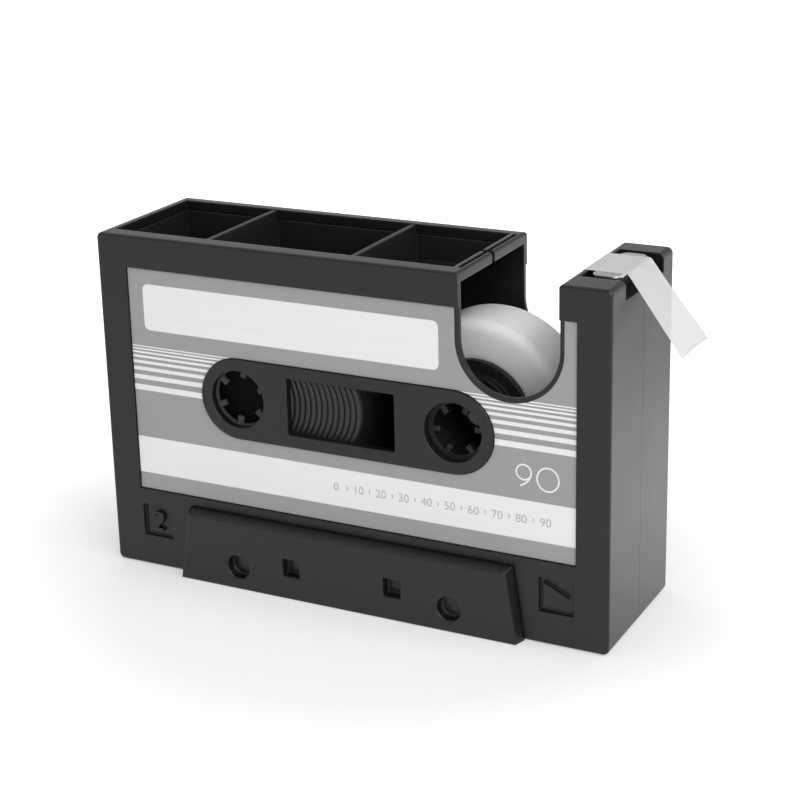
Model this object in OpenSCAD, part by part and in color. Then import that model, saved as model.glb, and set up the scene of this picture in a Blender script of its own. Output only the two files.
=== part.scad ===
// Desk tidy shaped like a compact cassette: pen bin, tape dispenser and a drawer.
// Origin at the middle of the base, +Z up, the front faces -Y, millimetres.

/* [Case] */
// Overall width of the case
case_w = 170; // [162:1:190]
// Overall height of the case
case_h = 110; // [104:1:125]
// Overall depth of the case
case_d = 50; // [48:1:60]
// Thickness of the sides and the floor
wall = 2; // [1.6:0.1:2.2]
// Thickness of the front and rear panels
panel = 2.4; // [2.2:0.1:3]
// Radius of the corners in front view
corner_r = 1.8; // [1.8:0.1:4]
// Radius of the long edges of the front and rear faces
edge_r = 0.8; // [0.4:0.1:1.2]
// Height of the rim round the top
rim_h = 3.2; // [2.5:0.1:4]
// Play between parts that are put together by hand
play = 0.3; // [0.2:0.05:0.4]

/* [Pen bin] */
// Width of the rim beside the left compartment
rim_left = 3.5; // [3.5:0.1:5]
// Width of the rim in front of the compartments
rim_front = 5.5; // [5.5:0.1:7]
// Width of the rim behind the compartments
rim_back = 3.9; // [3.9:0.1:6]
// Width of the rim beside the tape slot
rim_right = 3.7; // [3:0.1:5]
// Thickness of the outer walls of the bin
bin_wall = 1.2; // [1:0.1:1.2]
// Thickness of the two dividers
divider_t = 1.6; // [1.2:0.1:3]
// Inner width of the left compartment
left_bin_w = 32.9; // [28:0.1:34]
// Inner width of the middle compartment
middle_bin_w = 48.2; // [42:0.2:49]
// Inner width of the shallow right compartment
right_bin_w = 31.9; // [28:0.1:33]
// Distance of the shallow right compartment above the tape roll
tray_lift = 6.5; // [5:0.1:8]
// Slope of the end of that compartment, over which clips are slid out
ramp_angle = 30; // [20:1:34]

/* [Tape slot] */
// Width of the slot above the tape roll
slot_w = 31; // [28:0.5:33]
// Height from the top of the case to the bottom of the slot
slot_drop = 35.4; // [32:0.2:38]

/* [Front] */
// Depth of the recess that holds the label
recess_t = 0.9; // [0.5:0.1:1.2]
// Width of the label recess
recess_w = 149.5; // [140:0.5:156]
// Height of the lower edge of the recess
recess_bottom = 26.5; // [25:0.5:30]
// Distance of the upper edge of the recess below the top
recess_top_gap = 10.2; // [8:0.2:14]
// Thickness of the label
label_t = 0.25; // [0.1:0.05:0.4]
// Distance of the label from the edge of the slot
label_slot_gap = 1.4; // [1:0.1:3]
// Distance between the two reels
reel_gap = 72.7; // [70:0.1:74]
// Distance of the reels below the top of the case
reel_drop = 48.2; // [46:0.1:50]
// Radius of the holes that show the reels
reel_hole_r = 9.2; // [8.8:0.1:9.6]
// Height of the raised capsule round the reels
capsule_h = 25.8; // [23:0.2:28]
// Width of the window between the reels
window_w = 36.4; // [30:0.2:40]
// Height of the window
window_h = 18.1; // [14:0.1:20]
// Distance from the left reel to the window
window_x = 17.4; // [14:0.2:18]
// Size of the two square marks at the lower corners
mark_size = 10.8; // [8:0.2:12]
// Distance of the middle of a corner mark from the side of the case
mark_in = 16.3; // [14:0.1:18]
// Height of the middle of a corner mark
mark_z = 15.9; // [12:0.1:18]
// Depth of the corner marks
mark_t = 1.3; // [0.4:0.1:1.6]

/* [Window ridges] */
// Radius of every ridge
ridge_r = 17.4; // [15:0.1:20]
// Distance from one ridge to the next
ridge_pitch = 1.93; // [1.6:0.01:2.4]
// Height of the ridges above their plate
ridge_h = 1.1; // [0.6:0.1:1.2]
// Distance from the left reel to the crown of the last ridge
ridge_end = 41.4; // [38:0.1:43]

/* [Tape] */
// Width of the tape
tape_w = 19; // [12:1:19]
// Outer radius of the tape roll
tape_r = 29; // [22:0.5:29]
// Inner radius of the tape core
core_r = 12.7; // [12.7:0.1:13.5]
// Thickness of the tape core
core_wall = 1.7; // [1:0.1:2.5]
// Distance of the roll behind the middle of the case
tape_y = 1.5; // [0:0.5:3]
// Thickness of the free strip of tape
tail_t = 0.3; // [0.2:0.05:0.4]
// Length of the strip that hangs beside the post
tail_len = 28.4; // [10:0.1:40]
// Angle of the hanging strip below level
tail_angle = 54.3; // [45:0.1:70]

/* [Spool] */
// Radius of the axle
axle_r = 3; // [2.5:0.1:3.5]
// Running clearance round the axle
axle_play = 0.05; // [0.02:0.01:0.1]
// Radius of the spool flanges
flange_r = 17.5; // [16:0.1:19]
// Thickness of the front flange
front_flange_t = 2; // [1.2:0.1:2.6]
// Radius of the collar on the front flange
collar_r = 13.8; // [13:0.1:15]
// Thickness of the rear flange and the web of the spool
flange_t = 1.2; // [1:0.1:2]
// Thickness of the spool barrel
barrel_t = 1.2; // [1:0.1:1.5]
// Radius of the hollow sleeve behind the right reel hole
sleeve_r = 10; // [9.8:0.1:10.4]
// Thickness of the sleeve
sleeve_t = 1.2; // [0.8:0.1:1.4]
// Number of teeth on each reel
reel_teeth = 6; // [3:1:8]
// Length of a reel tooth
tooth_len = 2.4; // [1.5:0.1:3]
// Width of a reel tooth
tooth_w = 1.8; // [1:0.1:2.4]

/* [Cutter] */
// Length of the pocket on top of the post
pocket_len = 31.3; // [29:0.1:34]
// Depth of the pocket
pocket_depth = 5.6; // [4.5:0.1:7]
// Distance of the pocket and the blade behind the middle of the case
pocket_y = 0.9; // [0:0.1:2]
// Length of the blade along the case's depth
blade_len = 26; // [24:0.5:27]
// Width of the blade without its teeth
blade_w = 7.8; // [6:0.1:9]
// Thickness of the blade
blade_t = 0.6; // [0.4:0.1:1]
// Distance of the blade from the inner face of the post
blade_gap = 2.1; // [1.5:0.1:3]
// Pitch of the blade's teeth
blade_pitch = 1.6; // [1.2:0.1:2.4]
// Length of the blade's teeth
blade_tooth = 1.1; // [0.6:0.1:1.6]

/* [Drawer] */
// Half width of the drawer front along its lower edge
front_low = 57.8; // [57:0.1:60]
// Half width of the drawer front along its upper edge
front_high = 54.3; // [54:0.1:57]
// Height of the upper edge of the drawer front's face
front_h = 22.4; // [22:0.1:24]
// Distance that the drawer front stands proud
front_t = 4; // [3.4:0.1:6]
// Slope of the drawer front's side bevels
front_bevel = 1.2; // [0.5:0.1:2]
// Half width of the drawer opening
bay_half = 53.4; // [50:0.1:54]
// Thickness of the walls of the tray
tray_wall = 1.5; // [1.2:0.1:2]
// Depth of the recesses in the drawer front
recess_depth = 3.2; // [1:0.1:3.2]
// Distance of the tray from the back of its bay
tray_gap = 2.2; // [1:0.1:8]
// Travel of the drawer
drawer_travel = 30; // [15:1:32]

/* [Base and fasteners] */
// Distance that the pad holds the case above the desk
pad_proud = 0.3; // [0.3:0.1:1]
// Thickness of the pad
pad_t = 1; // [0.8:0.1:1.5]
// Length of the pad
pad_w = 150; // [120:1:156]
// Depth of the pad
pad_d = 36; // [30:1:42]
// Depth of the ballast plate
ballast_d = 40; // [24:1:44]
// Radius of the screw bosses
boss_r = 4.4; // [4.2:0.1:4.6]
// Radius of the heads of the case screws
head_r = 2.8; // [2.4:0.1:2.9]
// Radius of the shanks of the case screws
shank_r = 1.1; // [0.9:0.1:1.3]

/* [Hidden] */
$fn = 64;
cut = 0.5; // overshoot of cutting tools
lap = 0.3; // overlap that joins pieces of one part
seat = 0.1; // gap between parts that rest on each other

// case, seen from the front
side = case_w / 2;
face_y = -case_d / 2;
back_y = case_d / 2;
inner_front = face_y + panel;
inner_back = back_y - panel;
case_z = pad_proud;
floor_z = case_z + wall;
rim_z = case_h - rim_h;
reel_z = case_h - reel_drop;

// pen bin, from left to right
left_bin_x = -side + rim_left;
divider1_x = left_bin_x + left_bin_w;
middle_bin_x = divider1_x + divider_t;
divider2_x = middle_bin_x + middle_bin_w;
right_bin_x = divider2_x + divider_t;
right_bin_end = right_bin_x + right_bin_w;
bin_front = face_y + rim_front;
bin_back = back_y - rim_back;

// slot and post
slot_x0 = right_bin_end + rim_right;
slot_x1 = slot_x0 + slot_w;
slot_x = (slot_x0 + slot_x1) / 2;
slot_bottom = case_h - slot_drop;
slot_z = slot_bottom + slot_w / 2;
post_wall = 2;
rim_gap = 0.9; // half the gap in the rim where the halves meet
groove_wall = 1.2; // walls beside the groove in that rim
groove_t = 1.4;
bend_r = 1; // rounding of the upper edges of the slot

// front face
recess_top = case_h - recess_top_gap;
recess_y = face_y + recess_t;
reel_x = reel_gap / 2;
capsule_r = capsule_h / 2;
window_x0 = -reel_x + window_x;
window_x1 = window_x0 + window_w;
window_r = 0.6;
mark_edge = 1.4;
label_gap = 0.2;

// tape and spool, along Y
tape_front = tape_y - tape_w / 2;
tape_back = tape_y + tape_w / 2;
core_out = core_r + core_wall;
barrel_r = core_r - 2 * seat;
barrel_in = barrel_r - barrel_t;
plug_r = barrel_in - seat;
hub_wall = 2.5;
axle_hub_r = axle_r + hub_wall;
head_wall = 2;
axle_head_r = axle_r + head_wall;
axle_head_t = 1.2;
boss_wall = 3;
axle_boss_r = axle_r + boss_wall;
web_back = 2; // distance of the web in front of the middle of the tape
collar_len = 2.6;
hub_recess = 3;
hub_len = 4;
plug_gap = 5;
web_y = tape_y - web_back;
flange_front = tape_front - front_flange_t;
collar_front = flange_front - collar_len;
collar_t = 1.2;
split_y = tape_back - 2 * seat;
sleeve_gap = 0.7;
sleeve_front = inner_front + sleeve_gap;
sleeve_in = sleeve_r - sleeve_t;
reel_t = 2.6;
reel_wall = 0.8;
cup_t = 0.5; // floor of the fixed reel
left_turn = 23; // degrees, first tooth from the right
right_turn = 6;
roll_gap = 1.2;
tray_under = reel_z + tape_r + tray_lift;
hub_front = web_y - hub_recess;
hub_back = web_y + hub_len;
plug_front = web_y + plug_gap;
flange_play = 0.4;

// cutter
pocket_front = pocket_y - pocket_len / 2;
pocket_back = pocket_y + pocket_len / 2;
pocket_z = case_h - pocket_depth;
pocket_x = slot_x1 + post_wall;
blade_x0 = pocket_x + blade_gap;
blade_x1 = blade_x0 + blade_w;
fold_x = blade_x1 + blade_tooth;
blade_mid = (blade_x0 + blade_x1) / 2;
blade_front = pocket_y - blade_len / 2;
blade_back = pocket_y + blade_len / 2;
blade_z = case_h - blade_t;
blade_screw_y = blade_len / 4;
blade_screw_r = 1;
blade_head_r = 1.9;

// drawer
runner_h = 0.5;
bay_wall = 1.5;
bay_top = 22.1;
bay_roof = bay_top + bay_wall;
bay_back = inner_back - 2 * seat;
tray_z = floor_z + runner_h + play;
tray_half = bay_half - play;
tray_clear = 1.5;
tray_top = bay_top - tray_clear;
opening_gap = 0.4;
opening_z0 = floor_z + runner_h;
opening_z1 = tray_top + opening_gap;
stop_top = bay_top - play;
front_gap = 0.3;
front_y = face_y - front_gap;
tray_back = bay_back - bay_wall - tray_gap;
stop_t = 3;
stop_y = inner_front + drawer_travel + 2 * play;
runner_w = 2;
hole_x = reel_x;
hole_r = 4;
hole_z = 7.7;
notch_x = 17.4;
notch_size = 6;
notch_z = 7.6;
drawer_screw_x = 27;
drawer_screw_z = 12.5;
drawer_screw_r = 0.9;
drawer_head_r = 2.4;
drawer_head_t = 1.3;
drawer_screw_in = 2.5; // depth of the screws in the drawer front
ballast_t = reel_z - tape_r - roll_gap - bay_roof;

// screws that join the shells: [x, z]
boss_low = 13;
boss_in = 15;
boss_gap = 1.4;
boss_drop = 14;
boss_at = [
    [-side + boss_in, boss_low],
    [bay_half + bay_wall + boss_r + 2.5 * boss_gap, boss_low],
    [pocket_x + boss_r + boss_gap, recess_top - boss_drop],
    [right_bin_x + boss_r + boss_gap, reel_z + tape_r - boss_r - boss_gap]];
head_y = 8;
head_t = 2;
screw_len = 17;
screw_end = 1; // free length of the screw holes
shank_play = 0.4;

// ------------------------------------------------------------ helpers

// Extrudes a front-view outline from y0 to y1
module along_y(y0, y1) {
    translate([0, y1, 0]) rotate([90, 0, 0]) linear_extrude(height = y1 - y0) children();
}

// A box between two opposite corners
module block(low, high) {
    translate(low) cube(high - low);
}

// Rectangle with round corners in the front view
module rounded(x0, z0, x1, z1, r) {
    translate([x0 + r, z0]) square([x1 - x0 - 2 * r, z1 - z0]);
    translate([x0, z0 + r]) square([x1 - x0, z1 - z0 - 2 * r]);
    for (x = [x0 + r, x1 - r], z = [z0 + r, z1 - r]) translate([x, z]) circle(r);
}

// Outline with two half-round ends
module stadium(half_length, r) {
    for (s = [-1, 1]) translate([s * half_length, reel_z]) circle(r);
    translate([-half_length, reel_z - r]) square([2 * half_length, 2 * r]);
}

// Cylinder along Y
module rod(x, z, r, y0, y1) {
    along_y(y0, y1) translate([x, z]) circle(r);
}

// Outline of the tape slot, widened by grow
module slot_outline(grow = 0) {
    r = slot_w / 2 + grow;
    translate([slot_x, slot_z]) circle(r);
    translate([slot_x - r, slot_z]) square([2 * r, case_h + cut - slot_z]);
}

// The slot with its two upper edges rounded
module slot_cut() {
    slot_outline();
    for (s = [-1, 1]) translate([slot_x + s * (slot_w / 2 + bend_r), case_h - bend_r])
        difference() {
            translate([s < 0 ? 0 : -bend_r - cut, 0]) square([bend_r + cut, bend_r + cut]);
            circle(bend_r);
        }
}

// Outer form of one half of the case, with its face at side s (-1 front, 1 rear)
module case_half(s) {
    steps = 3;
    hull() for (i = [0 : steps]) {
        a = 90 * i / steps;
        inset = edge_r * (1 - sin(a));
        y = s * (case_d / 2 - edge_r * (1 - cos(a)));
        along_y(min(y, 0), max(y, 0))
            rounded(-side + inset, case_z + inset, side - inset, case_h - inset,
                corner_r - inset, $fn = 24);
    }
}

// Everything that both halves of the case have in common, y0 to y1 inside the panel
module shell_half(s) {
    y0 = s < 0 ? inner_front : 0;
    y1 = s < 0 ? 0 : inner_back;
    fill_z = rim_z + wall / 2;
    difference() {
        union() {
            difference() {
                case_half(s);
                block([-side + wall, y0, floor_z], [side - wall, y1, rim_z]);
            }
            // inner wall of the post
            block([slot_x1, y0, floor_z], [pocket_x, y1, rim_z]);
            // pocket for the cutter
            block([slot_x1, max(y0, pocket_front - wall), pocket_z - wall],
                [side - wall / 2, min(y1, pocket_back + wall), fill_z]);
            // runners of the drawer
            for (x = [-bay_half / 2, bay_half / 2])
                block([x - runner_w / 2, y0, floor_z],
                    [x + runner_w / 2, s < 0 ? y1 : bay_back - bay_wall, opening_z0]);
            for (p = boss_at) rod(p[0], p[1], boss_r, y0, y1);
        }
        // mouth of the pen bin
        block([left_bin_x, s < 0 ? bin_front : -cut, rim_z - cut],
            [right_bin_end, s < 0 ? cut : bin_back, case_h + cut]);
        // gap in the rim where the halves meet
        block([right_bin_end - cut, -rim_gap, rim_z - cut], [slot_x0 + cut, rim_gap, case_h + cut]);
        // groove in the rim beside the slot
        block([right_bin_end + groove_wall, s < 0 ? bin_front : -cut, case_h - groove_t],
            [slot_x0 - groove_wall, s < 0 ? cut : bin_back, case_h + cut]);
        along_y(s * case_d / 2 - (s < 0 ? cut : case_d), s * case_d / 2 + (s < 0 ? case_d : cut))
            slot_cut();
        block([pocket_x, pocket_front, pocket_z], [side + cut, pocket_back, case_h + cut]);
        // seat of the base pad
        block([-pad_w / 2, -pad_d / 2, 0], [pad_w / 2, pad_d / 2, pad_t]);
    }
}

// Ring with teeth that point to its middle
module toothed_ring(x, r_out, r_in, y0, y1, turn) {
    along_y(y0, y1) translate([x, reel_z]) {
        difference() {
            circle(r_out);
            circle(r_in);
        }
        for (i = [0 : reel_teeth - 1]) rotate(turn + 360 * i / reel_teeth)
            translate([r_in - tooth_len, -tooth_w / 2]) square([tooth_len + lap, tooth_w]);
    }
}

// ------------------------------------------------------------ case

module front_shell() {
    color("#2b2b2c") difference() {
        shell_half(-1);
        // recess for the label, round the raised capsule
        along_y(face_y - cut, recess_y) difference() {
            translate([-recess_w / 2, recess_bottom])
                square([recess_w, recess_top - recess_bottom]);
            stadium(reel_x, capsule_r);
        }
        for (x = [-reel_x, reel_x]) rod(x, reel_z, reel_hole_r, face_y - cut, inner_front + cut);
        along_y(face_y - cut, inner_front + cut)
            rounded(window_x0, reel_z - window_h / 2, window_x1, reel_z + window_h / 2, window_r);
        block([-bay_half, face_y - cut, opening_z0], [bay_half, inner_front + cut, opening_z1]);
        corner_marks();
        for (p = boss_at) rod(p[0], p[1], shank_r, head_y - screw_len - screw_end, cut);
    }
}

// Square recesses at the lower corners, the right one round a raised triangle
module corner_marks() {
    tip = mark_size / 2 - mark_edge;
    for (s = [-1, 1]) along_y(face_y - cut, face_y + mark_t)
        translate([s * (side - mark_in), mark_z]) difference() {
            square(mark_size, center = true);
            if (s > 0) polygon([[-tip, -tip], [tip, 0], [-tip, tip]]);
        }
}

module rear_shell() {
    color("#2b2b2c") difference() {
        union() {
            shell_half(1);
            // boss that holds the axle
            rod(reel_x, reel_z, axle_boss_r, tape_back + flange_t + flange_play, inner_back);
        }
        along_y(back_y - recess_t, back_y + cut)
            translate([-recess_w / 2, recess_bottom]) square([recess_w, recess_top - recess_bottom]);
        rod(reel_x, reel_z, axle_r, 0, inner_back);
        for (p = boss_at) {
            rod(p[0], p[1], shank_r + shank_play, -cut, head_y + cut);
            rod(p[0], p[1], head_r + play, head_y, back_y + cut);
        }
    }
}

module case_screws() {
    slot_half = 0.3;
    color("silver") for (p = boss_at) {
        rod(p[0], p[1], shank_r, head_y - screw_len, head_y);
        // head with a cross slot
        difference() {
            rod(p[0], p[1], head_r, head_y, head_y + head_t);
            for (a = [0, 90]) translate([p[0], head_y, p[1]]) rotate([0, a, 0])
                block([-head_r / 2, head_t / 2, -slot_half], [head_r / 2, head_t + cut, slot_half]);
        }
    }
}

module base_pad() {
    color("#1c1c1c") block([-pad_w / 2 + play, -pad_d / 2 + play, 0],
        [pad_w / 2 - play, pad_d / 2 - play, pad_t]);
}

// ------------------------------------------------------------ pen bin

module pen_bin() {
    top = rim_z - seat;
    wall_front = bin_front - bin_wall;
    wall_back = bin_back + bin_wall;
    tray_end = right_bin_end + bin_wall;
    tray_top_z = tray_under + bin_wall;
    rise = top - seat - tray_top_z;
    under_end = top - seat + bin_wall * (tan(ramp_angle) - 1 / cos(ramp_angle));
    color("#252526") {
        difference() {
            union() {
                block([left_bin_x - bin_wall, wall_front, bay_roof], [right_bin_x, wall_back, top]);
                along_y(wall_front, wall_back) polygon([[divider2_x, tray_under],
                    [tray_end - (under_end - tray_under) / tan(ramp_angle), tray_under],
                    [tray_end, under_end], [tray_end, top], [divider2_x, top]]);
                // the dividers reach up between the rims
                for (x = [divider1_x, divider2_x])
                    block([x, bin_front + seat, top - 1],
                        [x + divider_t, bin_back - seat, case_h - 2 * seat]);
            }
            block([left_bin_x, bin_front, bay_roof + bin_wall], [divider1_x, bin_back, case_h]);
            block([middle_bin_x, bin_front, bay_roof + bin_wall], [divider2_x, bin_back, case_h]);
            along_y(bin_front, bin_back) polygon([[right_bin_x, tray_top_z],
                [right_bin_end - rise / tan(ramp_angle), tray_top_z],
                [right_bin_end, tray_top_z + rise], [right_bin_end, case_h], [right_bin_x, case_h]]);
        }
    }
}

// ------------------------------------------------------------ front trim

module front_label() {
    half = recess_w / 2 - label_gap;
    color("#a9a9a9") along_y(recess_y - label_t, recess_y) difference() {
        translate([-half, recess_bottom + label_gap])
            square([2 * half, recess_top - recess_bottom - 2 * label_gap]);
        stadium(reel_x, capsule_r + label_gap);
        slot_outline(label_slot_gap);
    }
}

module pack_relief() {
    back = bin_front - bin_wall;
    front = inner_front + 2 * seat;
    margin = 2;
    crown = -reel_x + ridge_end;
    low = reel_z - window_h / 2 - margin;
    high = reel_z + window_h / 2 + margin;
    left = window_x0 - margin;
    count = floor((crown - left) / ridge_pitch);
    color("#39393a") {
        along_y(front + ridge_h, back) intersection() {
            translate([left, low]) square([crown - left, high - low]);
            union() {
                translate([crown - ridge_r, reel_z]) circle(ridge_r);
                translate([left, low]) square([crown - ridge_r - left, high - low]);
            }
        }
        along_y(front, front + ridge_h) for (i = [0 : count - 1]) intersection() {
            translate([left, low]) square([crown - left, high - low]);
            translate([crown - ridge_r - i * ridge_pitch, reel_z]) difference() {
                circle(ridge_r);
                circle(ridge_r - ridge_pitch / 2);
                translate([-2 * ridge_r, -ridge_r]) square([2 * ridge_r, 2 * ridge_r]);
            }
        }
    }
}

// The fixed reel is a shallow cup
module left_reel() {
    back = bin_front - bin_wall;
    rim = 2;
    color("#4a4a4b") {
        toothed_ring(-reel_x, reel_hole_r + rim, sleeve_in, inner_front, back, left_turn);
        rod(-reel_x, reel_z, sleeve_in + lap, back - cup_t, back);
    }
}

// ------------------------------------------------------------ tape spool

module right_reel() {
    color("#4a4a4b") toothed_ring(reel_x, sleeve_in, sleeve_in - reel_wall, sleeve_front,
        sleeve_front + reel_t, right_turn);
}

module spool_front() {
    color("#303031") difference() {
        union() {
            rod(reel_x, reel_z, flange_r, flange_front, tape_front);
            rod(reel_x, reel_z, collar_r, collar_front, flange_front);
            rod(reel_x, reel_z, barrel_r, tape_front, split_y);
            rod(reel_x, reel_z, sleeve_r, sleeve_front, web_y);
        }
        // hollow between the sleeve and the collar or barrel, open to the front
        for (ring = [[collar_front, flange_front, collar_r - collar_t], [flange_front, web_y, barrel_in]])
            along_y(ring[0] - cut, ring[1]) translate([reel_x, reel_z]) difference() {
                circle(ring[2]);
                circle(sleeve_r);
            }
        along_y(sleeve_front - cut, web_y) translate([reel_x, reel_z]) difference() {
            circle(sleeve_in);
            circle(axle_hub_r);
        }
        rod(reel_x, reel_z, axle_hub_r + seat, sleeve_front - cut, hub_front);
        along_y(web_y + flange_t, split_y + cut) translate([reel_x, reel_z]) difference() {
            circle(barrel_in);
            circle(axle_hub_r);
        }
        rod(reel_x, reel_z, axle_hub_r + seat, hub_back, split_y + cut);
        rod(reel_x, reel_z, axle_r + axle_play, sleeve_front, split_y);
    }
}

module spool_rear() {
    color("#303031") difference() {
        union() {
            rod(reel_x, reel_z, flange_r, tape_back, tape_back + flange_t);
            rod(reel_x, reel_z, plug_r, plug_front, tape_back);
        }
        along_y(plug_front - cut, tape_back) translate([reel_x, reel_z]) difference() {
            circle(plug_r - barrel_t);
            circle(axle_hub_r);
        }
        rod(reel_x, reel_z, axle_r + axle_play, plug_front - cut, tape_back + flange_t + cut);
    }
}

module spool_axle() {
    head_back = hub_front - play;
    color("silver") {
        rod(reel_x, reel_z, axle_r, head_back, inner_back - cut);
        rod(reel_x, reel_z, axle_head_r, head_back - axle_head_t, head_back);
    }
}

module tape_core() {
    color("#e8e8e4") along_y(tape_front, tape_back) translate([reel_x, reel_z]) difference() {
        circle(core_out);
        circle(core_r);
    }
}

module tape_roll() {
    color("#dcdcd8") along_y(tape_front, tape_back) translate([reel_x, reel_z]) difference() {
        circle(tape_r, $fn = 128);
        circle(core_out);
    }
}

// Points of an arc about c in the front view
function arc(c, r, from, to, steps) = [for (i = [0 : steps])
    let (a = from + (to - from) * i / steps) c + r * [cos(a), sin(a)]];

// Strip from the roll up to the post, over its edge and the blade, and down at the right
module tape_tail() {
    bend = [slot_x1 + bend_r, case_h - bend_r];
    fold = [fold_x, case_h];
    // where the strip leaves the roll
    start_r = tape_r + play;
    reach = bend - [bend_r + tail_t, 0] - [reel_x, reel_z];
    leave = atan2(reach[1], reach[0]) - acos(start_r / norm(reach));
    out = [cos(leave), sin(leave)];
    start = [reel_x, reel_z] + start_r * out;
    tip = fold + tail_len * [cos(tail_angle), -sin(tail_angle)];
    across = tail_t * [sin(tail_angle), cos(tail_angle)];
    upper = concat([start], arc(bend, bend_r + tail_t, 180, 90, 5),
        arc(fold, tail_t, 90, 90 - tail_angle, 2), [tip + across]);
    lower = concat([tip, fold], arc(bend, bend_r, 90, 180, 5), [start + tail_t * out]);
    teeth = floor(tape_w / blade_pitch);
    bite = tape_w / teeth;
    bite_len = 0.9;
    color("#e9e9e6") difference() {
        along_y(tape_front, tape_back) polygon(concat(upper, lower));
        // edge left by the toothed blade
        for (i = [0 : teeth - 1])
            translate([tip[0], tape_front + (i + 0.5) * bite, tip[1]]) rotate([0, tail_angle, 0])
                translate([0.05, 0, -cut]) linear_extrude(height = tail_t + 2 * cut)
                    polygon([[0, -bite / 2], [-bite_len, 0], [0, bite / 2]]);
    }
}

// ------------------------------------------------------------ cutter

module cutter_holder() {
    inset = 2;
    color("#1f1f20") difference() {
        block([blade_x0 + blade_t, blade_front + inset, pocket_z],
            [blade_x1 - 0.8, blade_back - inset, blade_z]);
        for (y = [-blade_screw_y, blade_screw_y]) translate([blade_mid, pocket_y + y, pocket_z + wall / 4])
            cylinder(r = blade_screw_r, h = pocket_depth);
    }
}

// Plate with round corners, a toothed right edge and a lip bent down at the left
module cutter_blade() {
    r = 2.4;
    lip = 3.5;
    teeth = floor(blade_len / blade_pitch) - 2;
    color("#c9c9cb") difference() {
        union() {
            translate([0, 0, blade_z]) linear_extrude(height = blade_t) {
                translate([blade_x0, blade_front + r]) square([blade_w, blade_len - 2 * r]);
                translate([blade_x0 + r, blade_front]) square([blade_w - 2 * r, blade_len]);
                for (x = [blade_x0 + r, blade_x1 - r], y = [blade_front + r, blade_back - r])
                    translate([x, y]) circle(r);
                for (i = [0 : teeth - 1])
                    translate([blade_x1, pocket_y + (i - teeth / 2) * blade_pitch])
                        polygon([[-lap, 0], [0, 0], [blade_tooth, blade_pitch / 2],
                            [0, blade_pitch], [-lap, blade_pitch]]);
            }
            block([blade_x0, blade_front + r + 1, case_h - lip],
                [blade_x0 + blade_t, blade_back - r - 1, blade_z + blade_t / 2]);
        }
        for (y = [-blade_screw_y, blade_screw_y]) translate([blade_mid, pocket_y + y, blade_z - cut])
            cylinder(r = blade_head_r + seat, h = blade_t + 2 * cut);
    }
}

module cutter_screws() {
    screw_z = pocket_z + wall / 2;
    color("silver") for (y = [-blade_screw_y, blade_screw_y]) translate([blade_mid, pocket_y + y, 0]) {
        translate([0, 0, screw_z]) cylinder(r = blade_screw_r, h = case_h - seat - screw_z);
        translate([0, 0, blade_z]) cylinder(r = blade_head_r, h = blade_t);
    }
}

// ------------------------------------------------------------ drawer

// Channel over the drawer, open at the front and below
module drawer_bay() {
    out = bay_half + bay_wall;
    color("#242425") difference() {
        block([-out, inner_front, floor_z], [out, bay_back, bay_roof]);
        block([-bay_half, inner_front - cut, floor_z - cut], [bay_half, bay_back - bay_wall, bay_top]);
    }
}

module drawer_tray() {
    color("#2b2b2c") difference() {
        union() {
            block([-tray_half, front_y, tray_z], [tray_half, tray_back, tray_top]);
            // stops that meet the front panel when the drawer is out
            for (x = [-tray_half, tray_half - tray_wall])
                block([x, stop_y, tray_top - 1], [x + tray_wall, stop_y + stop_t, stop_top]);
        }
        block([-tray_half + tray_wall, front_y + tray_wall, tray_z + tray_wall],
            [tray_half - tray_wall, tray_back - tray_wall, bay_top]);
        for (s = [-1, 1]) rod(s * drawer_screw_x, drawer_screw_z, drawer_screw_r + play,
            front_y - cut, front_y + tray_wall + cut);
    }
}

// Bevelled block with two round and two square recesses
module drawer_front() {
    face = front_y - front_t;
    seam = 0.02;
    color("#2f2f30") difference() {
        hull() {
            along_y(face, face + seam) front_outline(0);
            along_y(front_y - seam, front_y) front_outline(front_bevel);
        }
        for (s = [-1, 1]) {
            rod(s * hole_x, hole_z, hole_r, face - cut, face + recess_depth);
            translate([s * notch_x, 0, 0]) block([-notch_size / 2, face - cut, notch_z],
                [notch_size / 2, face + recess_depth, notch_z + notch_size]);
            rod(s * drawer_screw_x, drawer_screw_z, drawer_screw_r,
                front_y - drawer_screw_in - cut, front_y + cut);
        }
    }
}

module front_outline(grow) {
    polygon([[-front_low - grow, case_z], [front_low + grow, case_z],
        [front_high + grow, front_h + grow], [-front_high - grow, front_h + grow]]);
}

module drawer_screws() {
    color("silver") for (s = [-1, 1]) {
        rod(s * drawer_screw_x, drawer_screw_z, drawer_screw_r, front_y - drawer_screw_in,
            front_y + tray_wall);
        rod(s * drawer_screw_x, drawer_screw_z, drawer_head_r, front_y + tray_wall,
            front_y + tray_wall + drawer_head_t);
    }
}

module ballast_plate() {
    color("#8d8f92") block([right_bin_x + wall, -ballast_d / 2, bay_roof],
        [bay_half, ballast_d / 2, bay_roof + ballast_t]);
}

front_shell();
rear_shell();
pen_bin();
drawer_bay();
front_label();
pack_relief();
left_reel();
right_reel();
spool_front();
spool_rear();
spool_axle();
tape_core();
tape_roll();
tape_tail();
cutter_holder();
cutter_blade();
cutter_screws();
drawer_tray();
drawer_front();
drawer_screws();
ballast_plate();
base_pad();
case_screws();
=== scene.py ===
"""Finishes, printed label, wound tape and stage for the cassette-shaped desk tidy."""

import math
import random

import bmesh
import bpy
from bpy.props import FloatProperty, FloatVectorProperty, IntProperty, PointerProperty
from mathutils import Matrix, Vector


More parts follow.
